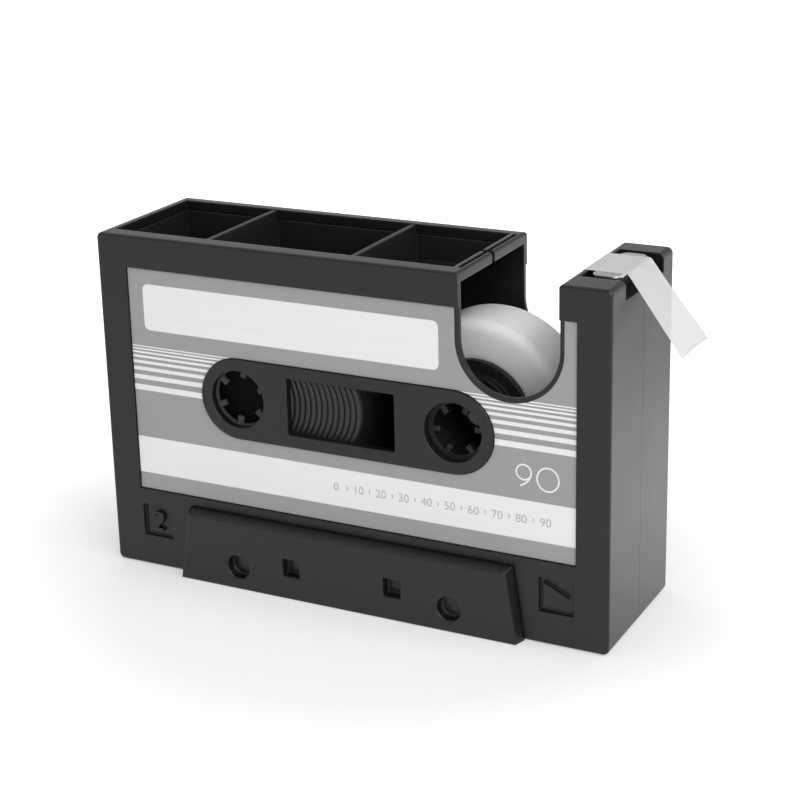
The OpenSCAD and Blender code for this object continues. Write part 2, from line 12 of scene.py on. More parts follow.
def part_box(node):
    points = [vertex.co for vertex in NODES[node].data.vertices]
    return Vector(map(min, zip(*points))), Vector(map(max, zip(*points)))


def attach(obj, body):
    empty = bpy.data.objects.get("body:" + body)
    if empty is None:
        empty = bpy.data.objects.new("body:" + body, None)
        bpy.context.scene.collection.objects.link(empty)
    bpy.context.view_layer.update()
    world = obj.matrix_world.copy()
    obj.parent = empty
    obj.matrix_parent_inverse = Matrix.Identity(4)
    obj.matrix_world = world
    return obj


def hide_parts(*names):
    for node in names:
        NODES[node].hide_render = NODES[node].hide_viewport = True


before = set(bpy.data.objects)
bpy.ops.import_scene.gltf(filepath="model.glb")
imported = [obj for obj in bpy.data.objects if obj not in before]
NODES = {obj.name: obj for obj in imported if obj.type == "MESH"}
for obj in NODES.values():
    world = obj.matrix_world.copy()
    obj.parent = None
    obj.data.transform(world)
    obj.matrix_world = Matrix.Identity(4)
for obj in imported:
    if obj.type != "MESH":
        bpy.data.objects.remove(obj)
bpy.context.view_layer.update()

bl_info = {
    "name": "Cassette desk tidy",
    "version": (1, 0, 0),
    "blender": (4, 5, 0),
    "location": "View3D > Sidebar > Desk tidy",
    "description": "Dresses the desk tidy's solids and sets its studio stage",
    "category": "Object",
}

MM = 0.001
CASE, SPOOL = "case", "spool"
WHITE = (1, 1, 1, 1)


# ---------- helpers

def srgb(code):
    """Linear colour of an sRGB hex value."""
    channels = [int(code[i:i + 2], 16) / 255 for i in (1, 3, 5)]
    return (*[c / 12.92 if c <= 0.04045 else ((c + 0.055) / 1.055) ** 2.4 for c in channels], 1.0)


def add_node(tree, kind, settings=None, values=None, links=None):
    """A node with its settings, its input values and its links {input: (node, output)}."""
    node = tree.nodes.new(kind)
    for name, value in (settings or {}).items():
        setattr(node, name, value)
    for key, value in (values or {}).items():
        node.inputs[key].default_value = value
    for key, (source, output) in (links or {}).items():
        tree.links.new(source.outputs[output], node.inputs[key])
    return node


def new_material(name):
    """An empty material: its tree, its shader and the output of its object coordinates."""
    material = bpy.data.materials.new(name)
    material.use_nodes = True
    tree = material.node_tree
    tree.nodes.clear()
    shader = add_node(tree, "ShaderNodeBsdfPrincipled")
    add_node(tree, "ShaderNodeOutputMaterial", links={"Surface": (shader, "BSDF")})
    return material, tree, shader, (add_node(tree, "ShaderNodeTexCoord"), "Object")


def set_shader(shader, links=None, **values):
    """Sets and links the shader's own sockets; an underscore in a name stands for a space."""
    for name, value in values.items():
        shader.inputs[name.replace("_", " ")].default_value = value
    for name, (source, output) in (links or {}).items():
        shader.id_data.links.new(source.outputs[output], shader.inputs[name])


def add_object(name, data):
    """A new object in the scene."""
    item = bpy.data.objects.new(name, data)
    bpy.context.scene.collection.objects.link(item)
    return item


def new_piece(name, mesh, material, body, replaced=()):
    """Makes a finished mesh a piece that rides on a body."""
    piece = add_object(name, mesh)
    mesh.materials.clear()
    mesh.materials.append(material)
    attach(piece, body)
    if replaced:
        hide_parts(*replaced)
    return piece


def paint(names, material):
    """Gives CAD nodes their finish."""
    for name in names:
        NODES[name].data.materials.clear()
        NODES[name].data.materials.append(material)


def mesh_from(name, bm):
    """A mesh from bmesh data, with its normals outwards."""
    bmesh.ops.remove_doubles(bm, verts=bm.verts, dist=1e-7)
    bmesh.ops.recalc_face_normals(bm, faces=bm.faces)
    mesh = bpy.data.meshes.new(name)
    bm.to_mesh(mesh)
    bm.free()
    return mesh


def smooth(mesh):
    """Shades every face of a mesh smooth."""
    for face in mesh.polygons:
        face.use_smooth = True


def finished_mesh(source):
    """The mesh of an object with its modifiers applied; the object itself goes."""
    bpy.context.view_layer.update()
    depsgraph = bpy.context.evaluated_depsgraph_get()
    mesh = bpy.data.meshes.new_from_object(source.evaluated_get(depsgraph))
    source.modifiers.clear()
    bpy.data.objects.remove(source)
    return mesh


def add_prism(bm, outline, back, front):
    """A plate between two depths from a closed outline of (x, z) points."""
    rings = [[bm.verts.new((x, y, z)) for x, z in outline] for y in (back, front)]
    for i in range(len(outline)):
        j = (i + 1) % len(outline)
        bm.faces.new((rings[0][i], rings[0][j], rings[1][j], rings[1][i]))
    for ring in rings:
        bm.faces.new(ring)


def rounded_outline(low, high, radius, steps=8):
    """Outline of a rectangle with round corners, from its (x, z) corners."""
    middles = [(high[0] - radius, high[1] - radius, 0), (low[0] + radius, high[1] - radius, 90),
               (low[0] + radius, low[1] + radius, 180), (high[0] - radius, low[1] + radius, 270)]
    return [(x + radius * math.cos(math.radians(a + 90 * i / steps)),
             z + radius * math.sin(math.radians(a + 90 * i / steps)))
            for x, z, a in middles for i in range(steps + 1)]


def add_stroke(bm, path, width, back, front, closed=False):
    """A pen stroke of even width along (x, z) points, as a solid with square ends."""
    rows = []
    last = len(path) - 1
    for i, (x, z) in enumerate(path):
        a = path[i - 1] if i or closed else path[0]
        b = path[(i + 1) % len(path)] if i < last or closed else path[last]
        side = Vector((a[1] - b[1], b[0] - a[0])).normalized() * width / 2
        upper, under = (x + side.x, z + side.y), (x - side.x, z - side.y)
        rows.append([bm.verts.new((u, y, w)) for y, (u, w) in
                     ((back, upper), (front, upper), (front, under), (back, under))])
    for a, b in zip(rows, rows[1:] + (rows[:1] if closed else [])):
        for i in range(4):
            bm.faces.new((a[i], a[i - 1], b[i - 1], b[i]))
    if not closed:
        bm.faces.new(rows[0])
        bm.faces.new(rows[-1])


def arc_points(x, z, radius_x, radius_z, first, last, steps):
    """Points of an arc in the front view, angles in degrees."""
    return [(x + radius_x * math.cos(math.radians(first + (last - first) * i / steps)),
             z + radius_z * math.sin(math.radians(first + (last - first) * i / steps)))
            for i in range(steps + 1)]


def text_mesh(name, body, height, back, front, at):
    """Digits as a solid mesh that faces the front, with their middle at (x, z)."""
    curve = bpy.data.curves.new(name, "FONT")
    curve.body, curve.size = body, 1
    curve.align_x, curve.align_y = "CENTER", "CENTER"
    curve.extrude = 0.5
    curve.resolution_u = 6
    mesh = finished_mesh(add_object(name + "_source", curve))
    ys = [v.co.y for v in mesh.vertices]
    scale = height / (max(ys) - min(ys))
    middle = (max(ys) + min(ys)) / 2
    for v in mesh.vertices:
        x, y, z = v.co
        v.co = (at[0] + x * scale, (back + front) / 2 - z * (back - front),
                at[1] + (y - middle) * scale)
    mesh.name = name
    return mesh


def grown(name, tree, inputs, material, body):
    """Runs a geometry tree on an empty mesh and keeps the result as a plain piece."""
    carrier = add_object(name + "_carrier", bpy.data.meshes.new(name))
    modifier = carrier.modifiers.new("grow", "NODES")
    modifier.node_group = tree
    for item in tree.interface.items_tree:
        if item.in_out == "INPUT" and item.name in inputs:
            modifier[item.identifier] = inputs[item.name]
    mesh = finished_mesh(carrier)
    mesh.name = name
    return new_piece(name, mesh, material, body)


def new_geometry(name, inputs):
    """A geometry tree with named inputs (name, kind, default): its tree, inlet and outlet."""
    tree = bpy.data.node_groups.new(name, "GeometryNodeTree")
    tree.interface.new_socket("Geometry", in_out="INPUT", socket_type="NodeSocketGeometry")
    for label, kind, default in inputs:
        socket = tree.interface.new_socket(label, in_out="INPUT", socket_type="NodeSocket" + kind)
        if default is not None:
            socket.default_value = default
    tree.interface.new_socket("Geometry", in_out="OUTPUT", socket_type="NodeSocketGeometry")
    return tree, add_node(tree, "NodeGroupInput"), add_node(tree, "NodeGroupOutput")


def close_tree(tree, inlet, outlet, source):
    """Ends a geometry tree in Realize Instances and Set Material."""
    real = add_node(tree, "GeometryNodeRealizeInstances", links={"Geometry": source})
    ink = add_node(tree, "GeometryNodeSetMaterial",
                   links={"Geometry": (real, "Geometry"), "Material": (inlet, "Material")})
    tree.links.new(ink.outputs["Geometry"], outlet.inputs["Geometry"])


# ---------- sizes and colours

def size_property(name, description, default):
    """A size in metres."""
    return FloatProperty(name=name, description=description, default=default, unit="LENGTH")


def number_property(name, description, default, **more):
    """A plain number that isn't negative."""
    return FloatProperty(name=name, description=description, default=default, min=0, **more)


def colour_property(name, description, code):
    """A colour, from its sRGB hex value."""
    return FloatVectorProperty(name=name, description=description, subtype="COLOR", size=4,
                               default=srgb(code))


class TidyCase(bpy.types.PropertyGroup):
    """Finish of the moulded parts"""
    colour: colour_property("Plastic", "Colour of the black ABS", "#161617")
    roughness: number_property("Roughness", "Roughness of the moulded skin", 0.3, max=1)
    edge: size_property("Edge", "Radius that the mould leaves on an edge", 0.6 * MM)
    block_edge: size_property("Block edge", "Softer radius on the drawer's block", 1.4 * MM)
    bin_colour: colour_property("Bin", "Colour of the pen bin", "#19191a")
    bin_roughness: number_property("Bin roughness", "Roughness of the pen bin", 0.42, max=1)
    digit_height: size_property("Side digit", "Height of the side digit", 6.6 * MM)
    digit_pen: size_property("Digit pen", "Width of the side digit's strokes", 0.95 * MM)


class TidyTrim(bpy.types.PropertyGroup):
    """Reels, spool and steel"""
    # painted light: the fixed reel is much lighter than the spool so that its teeth look lit
    left_reel: colour_property("Left reel", "Colour of the fixed reel", "#4c4c4d")
    # painted shade: a dark colour on the fixed reel's floor, where shade falls deep in its cup
    left_painted_shade: colour_property("Left floor", "Colour behind the fixed reel's teeth", "#060606")
    spool: colour_property("Spool", "Colour of the spool and the right reel", "#19191a")
    # painted shade: a dark colour on the spool's far end, where shade falls deep inside
    spool_painted_shade: colour_property("Spool floor", "Colour of the spool's far end", "#0c0c0c")
    steel: colour_property("Steel", "Colour of the blade and the screws", "#cfcfd1")


class TidyLabel(bpy.types.PropertyGroup):
    """Printed label"""
    grey: colour_property("Grey", "Ground colour of the label", "#a1a1a1")
    white: colour_property("White", "Colour of the white print", "#f4f4f4")
    pale: colour_property("Pale grey", "Colour of the scale", "#bcbcbc")
    ink: size_property("Ink", "Thickness of the print", 0.03 * MM)
    stripes: IntProperty(name="Stripes", description="Stripes beside the reels", default=8, min=1)
    stripe_height: size_property("Stripe height", "Height of the lowest stripe", 1.85 * MM)
    stripe_pitch: size_property("Stripe pitch", "From the lowest stripe to the next", 3.45 * MM)
    stripe_ratio: number_property("Stripe ratio", "Each stripe's share of the one below", 0.8,
                                  max=0.95)


class TidyTape(bpy.types.PropertyGroup):
    """Roll and strip of tape"""
    colour: colour_property("Tape", "Colour of the matte tape", "#e3e3e2")
    wound: colour_property("Wound tape", "Colour of the tape on the roll", "#fafafa")
    core: colour_property("Core", "Colour of the roll's core", "#dcdcd8")
    thickness: size_property("Thickness", "Thickness of the free strip", 0.12 * MM)
    layers: IntProperty(name="Layers", description="Steps that show on the sides of the roll",
                        default=44, min=4)
    ruffle: size_property("Ruffle", "Largest offset of a layer", 0.03 * MM)
    front_wear: size_property("Front wear", "Radius of the roll's thumbed front edge", 3.0 * MM)
    back_wear: size_property("Back wear", "Radius of the roll's back edge", 0.7 * MM)


class TidyRelief(bpy.types.PropertyGroup):
    """Ridged relief behind the window"""
    colour: colour_property("Relief", "Colour of the relief", "#262627")
    pitch: size_property("Pitch", "Distance between two ridges", 1.93 * MM)
    radius: size_property("Radius", "Radius of every ridge", 17.4 * MM)
    height: size_property("Height", "Height of the ridges", 0.75 * MM)
    width: number_property("Width", "Width of a ridge as a share of the pitch", 0.88, max=1)
    ridges: IntProperty(name="Ridges", description="Number of ridges", default=13, min=1)


class TidyStage(bpy.types.PropertyGroup):
    """Studio"""
    floor: colour_property("Floor", "Colour of the floor", "#f7f7f7")
    shadow: number_property("Shadow", "Share of the shadow that the floor keeps", 0.6, max=1)
    fill: number_property("Fill", "Strength of the light from all round", 0.44)
    mirror: number_property("Mirrored floor", "How bright the mirrored floor is", 0.9)
    ceiling: number_property("Ceiling", "How bright the mirrored ceiling is", 0.4)
    sweep: number_property("Sweep", "Extra glow of the mirrored floor behind right", 1.5)
    key: number_property("Key", "Power of the large front lamp", 12.8, subtype="POWER")
    side: number_property("Side", "Power of the lamp at the right", 3.8, subtype="POWER")
    top: number_property("Top", "Power of the lamp overhead", 1.5, subtype="POWER")


# ---------- places

# left corner mark: the middle of the floor that the side digit stands on, and its depth
MARK_X, MARK_Z, MARK_DEPTH = -68.7 * MM, 15.9 * MM, 1.3 * MM
# reels, the capsule round them and the tape slot, with the label's margin
REEL_X, REEL_Z, CAPSULE_R = 36.35 * MM, 61.8 * MM, 13.1 * MM
SLOT_X, SLOT_Z, SLOT_R = 53.9 * MM, 90.1 * MM, 16.9 * MM
# title panel's corners as (x, z), the band's edges and the middle of the lowest stripe
TITLE_LOW, TITLE_HIGH, TITLE_ROUND = (-69.4 * MM, 80 * MM), (31.9 * MM, 94.9 * MM), 1.9 * MM
BAND_LOW, BAND_HIGH = 32.1 * MM, 44.3 * MM
LOWEST_STRIPE = 60.85 * MM
# inner face of the tape post, and the strip's fold over its outer edge
POST_X, FOLD_X = 69.4 * MM, 82.3 * MM
# lamps: size in metres and place; the stage's property of the same name holds the power
LAMPS = {"key": (1.2, (1.0, -1.0, 0.9)), "side": (0.5, (0.85, 0.0, 0.9)),
         "top": (0.8, (-0.5, 0.15, 1.0))}
LAMP_TARGET = Vector((0, 0, 0.05))
# camera: place in metres, then azimuth, elevation and roll in degrees
CAMERA_PLACE, CAMERA_TURN = (0.25956, -0.48989, 0.25516), (27.266, 17.729, -1.335)


# ---------- materials

def tinted(tree, colour, pattern, low, high):
    """A colour that a pattern makes darker or lighter, between two shares of it."""
    share = add_node(tree, "ShaderNodeMapRange", values={"To Min": low, "To Max": high},
                     links={"Value": pattern})
    mixed = add_node(tree, "ShaderNodeMix", {"data_type": "RGBA", "blend_type": "MULTIPLY"},
                     {"Factor": 1.0, "A": colour}, {"B": (share, "Result")})
    return mixed, "Result"


def moulded_abs(name, colour, roughness, edge):
    """Injection-moulded ABS: near black, satin, with a fine spark-eroded skin and soft edges."""
    material, tree, shader, place = new_material(name)
    # the mould's polish differs a little over areas of 15 mm
    cloud = add_node(tree, "ShaderNodeTexNoise", values={"Scale": 65.0, "Detail": 3.0},
                     links={"Vector": place})
    rough = add_node(tree, "ShaderNodeMapRange",
                     values={"To Min": roughness - 0.05, "To Max": roughness + 0.05},
                     links={"Value": (cloud, "Fac")})
    # spark-eroded grain, 0.1 mm in the mould, drawn 0.4 mm coarse to show
    grain = add_node(tree, "ShaderNodeTexNoise", values={"Scale": 2500.0, "Detail": 2.0},
                     links={"Vector": place})
    soft = add_node(tree, "ShaderNodeBevel", {"samples": 6}, {"Radius": edge})
    bump = add_node(tree, "ShaderNodeBump", values={"Strength": 0.12, "Distance": 0.02 * MM},
                    links={"Height": (grain, "Fac"), "Normal": (soft, "Normal")})
    set_shader(shader, {"Roughness": (rough, "Result"), "Normal": (bump, "Normal")},
               Base_Color=colour, IOR=1.5)
    return material


def textured_reel_abs(name, colour, painted_shade_colour, floor_y, sheen, edge):
    """ABS from a coarsely etched mould, with little shine; its colour darkens to a painted shade
    on the floor at its far end.
    """
    material, tree, shader, place = new_material(name)
    # painted shade: the colour darkens over the last 0.2 mm before the floor, where the deep reel
    # lies in shade
    parts = add_node(tree, "ShaderNodeSeparateXYZ", links={"Vector": place})
    shade_share = add_node(tree, "ShaderNodeMapRange",
                    values={"From Min": floor_y - 0.2 * MM, "From Max": floor_y},
                    links={"Value": (parts, "Y")})
    # etched grain of 0.3 mm
    grain = add_node(tree, "ShaderNodeTexNoise", values={"Scale": 3300.0, "Detail": 2.0},
                     links={"Vector": place})
    mixed = add_node(tree, "ShaderNodeMix", {"data_type": "RGBA"},
                     {"A": colour, "B": painted_shade_colour}, {"Factor": (shade_share, "Result")})
    soft = add_node(tree, "ShaderNodeBevel", {"samples": 6}, {"Radius": edge})
    bump = add_node(tree, "ShaderNodeBump", values={"Strength": 0.3, "Distance": 0.03 * MM},
                    links={"Height": (grain, "Fac"), "Normal": (soft, "Normal")})
    set_shader(shader, {"Base Color": (mixed, "Result"), "Normal": (bump, "Normal")},
               Roughness=0.5, Specular_IOR_Level=sheen)
    return material


def printed_film(name, colour):
    """Screen-printed polyester film: matte, with a faint pass of the squeegee."""
    material, tree, shader, place = new_material(name)
    # pulls about 70 mm long and 1.1 mm wide
    turn = add_node(tree, "ShaderNodeMapping", values={"Scale": (14.0, 1.0, 900.0)},
                    links={"Vector": place})
    pulls = add_node(tree, "ShaderNodeTexNoise", values={"Scale": 1.0, "Detail": 2.0},
                     links={"Vector": (turn, "Vector")})
    ground = tinted(tree, colour, (pulls, "Fac"), low=0.97, high=1.03)
    bump = add_node(tree, "ShaderNodeBump", values={"Strength": 0.1, "Distance": 0.01 * MM},
                    links={"Height": (pulls, "Fac")})
    set_shader(shader, {"Base Color": ground, "Normal": (bump, "Normal")},
               Roughness=0.5, IOR=1.5)
    return material


def matte_acetate(name, colour, alpha):
    """Matte acetate office tape: frosted, lets light through, with fine lengthwise drag lines."""
    material, tree, shader, place = new_material(name)
    # lines 0.7 mm apart across the tape
    turn = add_node(tree, "ShaderNodeMapping", values={"Scale": (30.0, 1400.0, 30.0)},
                    links={"Vector": place})
    drag = add_node(tree, "ShaderNodeTexNoise", values={"Scale": 1.0, "Detail": 3.0},
                    links={"Vector": (turn, "Vector")})
    frost = tinted(tree, colour, (drag, "Fac"), low=0.94, high=1.04)
    bump = add_node(tree, "ShaderNodeBump", values={"Strength": 0.15, "Distance": 0.01 * MM},
                    links={"Height": (drag, "Fac")})
    set_shader(shader, {"Base Color": frost, "Normal": (bump, "Normal")},
               Roughness=0.4, IOR=1.48, Alpha=alpha)
    return material


def wound_acetate(name, colour):
    """A wound roll of matte tape: milky, softly lit from inside, its sides ringed by layers."""
    material, tree, shader, place = new_material(name)
    low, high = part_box("tape_roll")
    middle = (low + high) / 2
    centred = add_node(tree, "ShaderNodeMapping", {"vector_type": "POINT"},
                       {"Location": (-middle.x, 0, -middle.z)}, {"Vector": place})
    flat = add_node(tree, "ShaderNodeVectorMath", {"operation": "MULTIPLY"},
                    {1: (1.0, 0.0, 1.0)}, {0: (centred, "Vector")})
    # one ring to 0.35 mm, about six layers of tape
    rings = add_node(tree, "ShaderNodeTexWave",
                     {"wave_type": "RINGS", "rings_direction": "SPHERICAL"},
                     {"Scale": 900.0, "Distortion": 1.5, "Detail": 1.0},
                     {"Vector": (flat, "Vector")})
    milk = tinted(tree, colour, (rings, "Fac"), low=0.97, high=1.0)
    bump = add_node(tree, "ShaderNodeBump", values={"Strength": 0.1, "Distance": 0.02 * MM},
                    links={"Height": (rings, "Fac")})
    # light goes about 5 mm into the milky roll
    set_shader(shader, {"Base Color": milk, "Normal": (bump, "Normal")},
               Roughness=0.4, IOR=1.48, Subsurface_Weight=1.0, Subsurface_Scale=5 * MM,
               Subsurface_Radius=(1.0, 1.0, 1.0))
    return material


def brushed_steel(name, colour, roughness):
    """Ground or plated steel: bright, with fine lines along X."""
    material, tree, shader, place = new_material(name)
    # lines 0.3 mm apart, drawn coarse to show
    turn = add_node(tree, "ShaderNodeMapping", values={"Scale": (60.0, 3000.0, 3000.0)},
                    links={"Vector": place})
    lines = add_node(tree, "ShaderNodeTexNoise", values={"Scale": 1.0, "Detail": 4.0},
                     links={"Vector": (turn, "Vector")})
    rough = add_node(tree, "ShaderNodeMapRange",
                     values={"To Min": roughness - 0.08, "To Max": roughness + 0.08},
                     links={"Value": (lines, "Fac")})
    soft = add_node(tree, "ShaderNodeBevel", {"samples": 4}, {"Radius": 0.15 * MM})
    bump = add_node(tree, "ShaderNodeBump", values={"Strength": 0.15, "Distance": 0.01 * MM},
                    links={"Height": (lines, "Fac"), "Normal": (soft, "Normal")})
    set_shader(shader, {"Roughness": (rough, "Result"), "Normal": (bump, "Normal")},
               Base_Color=colour, Metallic=1.0)
    return material


def foam_rubber(name):
    """Cellular rubber pad: dull black with open pores of 0.5 mm."""
    material, tree, shader, place = new_material(name)
    pores = add_node(tree, "ShaderNodeTexVoronoi", values={"Scale": 2000.0},
                     links={"Vector": place})
    tone = add_node(tree, "ShaderNodeValToRGB", links={"Fac": (pores, "Distance")})
    tone.color_ramp.elements[0].color = srgb("#101010")
    tone.color_ramp.elements[1].color = srgb("#242424")
    bump = add_node(tree, "ShaderNodeBump", values={"Strength": 0.5, "Distance": 0.1 * MM},
                    links={"Height": (pores, "Distance")})
    set_shader(shader, {"Base Color": (tone, "Color"), "Normal": (bump, "Normal")},
               Roughness=0.85, IOR=1.5)
    return material


# ---------- pieces

class TIDY_OT_case(bpy.types.Operator):
    """Finish the moulded shells, bin, drawer and cutter holder, and raise the side digit"""
    bl_idname = "tidy.case"
    bl_label = "Moulded case"

    def execute(self, context):
        look = context.scene.tidy_case
        plastic = moulded_abs("moulded_black_abs", look.colour, look.roughness, look.edge)
        paint(["front_shell", "rear_shell", "cutter_holder", "drawer_tray", "drawer_bay"], plastic)
        # the bin is another moulding: a little duller than the case
        paint(["pen_bin"], moulded_abs("moulded_bin_abs", look.bin_colour, look.bin_roughness,
                                       look.edge))
        paint(["drawer_front"], moulded_abs("moulded_block_abs", look.colour, look.roughness,
                                            look.block_edge))
        # the digit, a 2, stands on the floor of the left corner mark, just below the face
        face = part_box("front_shell")[0].y
        floor, top, foot_top = face + MARK_DEPTH, face + 0.05 * MM, face + 0.04 * MM
        pen = look.digit_pen
        tall = look.digit_height - pen
        bowl = 0.29 * tall
        foot = MARK_Z - tall / 2
        corner_x = MARK_X - bowl
        bm = bmesh.new()
        add_stroke(bm, arc_points(MARK_X, MARK_Z + tall / 2 - bowl, bowl, bowl, 170, -35, 16)
                   + [(corner_x, foot)], pen, floor, top)
        add_stroke(bm, [(corner_x - pen / 2, foot), (MARK_X + bowl, foot)], pen, floor, foot_top)
        new_piece("side_digit", mesh_from("side_digit", bm), plastic, CASE)
        return {"FINISHED"}


class TIDY_OT_reels(bpy.types.Operator):
    """Finish the reels and the two halves of the spool"""
    bl_idname = "tidy.reels"
    bl_label = "Reels and spool"

    def execute(self, context):
        look = context.scene.tidy_trim
        # painted light and shade: the fixed reel's light grey stands in for light on its teeth,
        # and its floor colour stands in for the shade in its cup
        cup = 0.7 * MM  # the fixed reel's floor, with 0.2 mm before it
        paint(["left_reel"], textured_reel_abs(
            "textured_left_reel_abs", look.left_reel, look.left_painted_shade,
            floor_y=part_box("left_reel")[1].y - cup, sheen=0.05, edge=0.25 * MM))
        # painted shade: the spool and the right reel darken towards the spool's far end
        paint(["right_reel", "spool_front", "spool_rear"], textured_reel_abs(
            "textured_spool_abs", look.spool, look.spool_painted_shade,
            floor_y=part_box("spool_rear")[1].y, sheen=0.4, edge=0.7 * MM))
        return {"FINISHED"}


class TIDY_OT_steel(bpy.types.Operator):
    """Finish the blade, axle, screws and ballast"""
    bl_idname = "tidy.steel"
    bl_label = "Steel parts"

    def execute(self, context):
        steel = context.scene.tidy_trim.steel
        paint(["cutter_blade"], brushed_steel("brushed_blade_steel", steel, roughness=0.36))
        paint(["spool_axle", "cutter_screws", "drawer_screws", "case_screws", "ballast_plate"],
              brushed_steel("zinc_plated_steel", steel, roughness=0.3))
        return {"FINISHED"}


class TIDY_OT_pad(bpy.types.Operator):
    """Finish the non-slip pad"""
    bl_idname = "tidy.pad"
    bl_label = "Base pad"

    def execute(self, context):
        paint(["base_pad"], foam_rubber("cellular_rubber"))
        return {"FINISHED"}


def stripe_tree():
    """Stripes that grow thinner upwards, less the parts that the capsule and the slot cover."""
    tree, inlet, outlet = new_geometry("printed_stripes", [
        ("Count", "Int", 8), ("Length", "Float", 0.15), ("Ink", "Float", 0.0001),
        ("Height", "Float", 0.0018), ("Pitch", "Float", 0.0034), ("Ratio", "Float", 0.8),
        ("Lowest", "Float", 0.06), ("Front", "Float", -0.024), ("Cover", "Object", None),
        ("Material", "Material", None)])
    line = add_node(tree, "GeometryNodeMeshLine", links={"Count": (inlet, "Count")})
    index = add_node(tree, "GeometryNodeInputIndex")
    power = add_node(tree, "ShaderNodeMath", {"operation": "POWER"},
                     links={0: (inlet, "Ratio"), 1: (index, "Index")})
    # middle of stripe i: lowest + pitch * (1 - ratio^i) / (1 - ratio)
    done = add_node(tree, "ShaderNodeMath", {"operation": "SUBTRACT"}, {0: 1.0}, {1: (power, 0)})
    left = add_node(tree, "ShaderNodeMath", {"operation": "SUBTRACT"}, {0: 1.0},
                    {1: (inlet, "Ratio")})
    share = add_node(tree, "ShaderNodeMath", {"operation": "DIVIDE"},
                     links={0: (done, 0), 1: (left, 0)})
    rise = add_node(tree, "ShaderNodeMath", {"operation": "MULTIPLY_ADD"},
                    links={0: (share, 0), 1: (inlet, "Pitch"), 2: (inlet, "Lowest")})
    spot = add_node(tree, "ShaderNodeCombineXYZ", links={"Y": (inlet, "Front"), "Z": (rise, 0)})
    placed = add_node(tree, "GeometryNodeSetPosition",
                      links={"Geometry": (line, "Mesh"), "Position": (spot, "Vector")})
    height = add_node(tree, "ShaderNodeMath", {"operation": "MULTIPLY"},
                      links={0: (power, 0), 1: (inlet, "Height")})
    size = add_node(tree, "ShaderNodeCombineXYZ",
                    links={"X": (inlet, "Length"), "Y": (inlet, "Ink"), "Z": (height, 0)})
    bar = add_node(tree, "GeometryNodeMeshCube", values={"Size": (1, 1, 1)})
    bars = add_node(tree, "GeometryNodeInstanceOnPoints",
                    links={"Points": (placed, "Geometry"), "Instance": (bar, "Mesh"),
                           "Scale": (size, "Vector")})
    real = add_node(tree, "GeometryNodeRealizeInstances", links={"Geometry": (bars, "Instances")})
    cover = add_node(tree, "GeometryNodeObjectInfo", links={"Object": (inlet, "Cover")})
    trimmed = add_node(tree, "GeometryNodeMeshBoolean",
                       {"operation": "DIFFERENCE", "solver": "EXACT"},
                       links={"Mesh 1": (real, "Geometry"), "Mesh 2": (cover, "Geometry")})
    close_tree(tree, inlet, outlet, (trimmed, "Mesh"))
    return tree


def tick_tree():
    """A row of equal ticks."""
    tree, inlet, outlet = new_geometry("scale_ticks", [
        ("Count", "Int", 10), ("Pitch", "Float", 0.003), ("Size", "Vector", (1, 1, 1)),
        ("Start", "Vector", (0, 0, 0)), ("Material", "Material", None)])
    step = add_node(tree, "ShaderNodeCombineXYZ", links={"X": (inlet, "Pitch")})
    line = add_node(tree, "GeometryNodeMeshLine",
                    links={"Count": (inlet, "Count"), "Start Location": (inlet, "Start"),
                           "Offset": (step, "Vector")})
    bar = add_node(tree, "GeometryNodeMeshCube", links={"Size": (inlet, "Size")})
    bars = add_node(tree, "GeometryNodeInstanceOnPoints",
                    links={"Points": (line, "Mesh"), "Instance": (bar, "Mesh")})
    close_tree(tree, inlet, outlet, (bars, "Instances"))
    return tree


